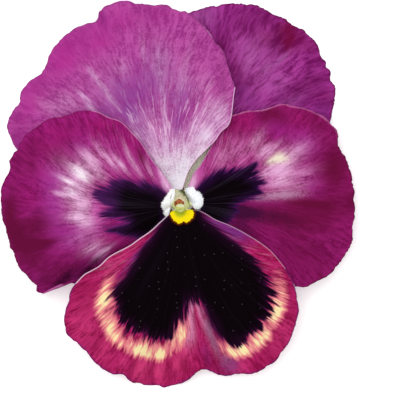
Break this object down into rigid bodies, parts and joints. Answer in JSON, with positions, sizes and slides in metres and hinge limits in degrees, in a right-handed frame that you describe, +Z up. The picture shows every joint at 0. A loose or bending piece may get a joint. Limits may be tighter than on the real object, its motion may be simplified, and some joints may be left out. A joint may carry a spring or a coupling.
{
  "type": "pansy bloom",
  "caption": "Picked pansy flower head lying face up: overlapping ruffled petals round a bearded throat, nectar spur, green calyx and a short hooked stalk behind.",
  "frame": {"origin": "middle of the bounding box in plan, on the surface that the bloom lies on", "axes": "+Z up, the way the bloom faces; -Y towards the tip of the lower petal; +X to the right seen from the front"},
  "size_m": [0.0888, 0.0966, 0.0136],
  "materials": {
    "petal_lilac": "matte",
    "petal_plum": "matte",
    "petal_magenta": "matte",
    "calyx_green": "matte",
    "stalk_green": "satin",
    "pistil_green": "satin",
    "anther_cream": "matte"
  },
  "bodies": {
    "root": {"petal_upper_right": "petal_plum", "petal_side_right": "petal_magenta", "petal_upper_left": "petal_lilac", "petal_side_left": "petal_magenta", "petal_lower": "petal_magenta", "sepal_top": "calyx_green", "sepal_left": "calyx_green", "sepal_lower_left": "calyx_green", "sepal_lower_right": "calyx_green", "sepal_right": "calyx_green", "stalk": "stalk_green", "pistil": "pistil_green", "anther_1": "anther_cream", "anther_2": "anther_cream", "anther_3": "anther_cream", "anther_4": "anther_cream", "anther_5": "anther_cream"}
  },
  "joints": []
}
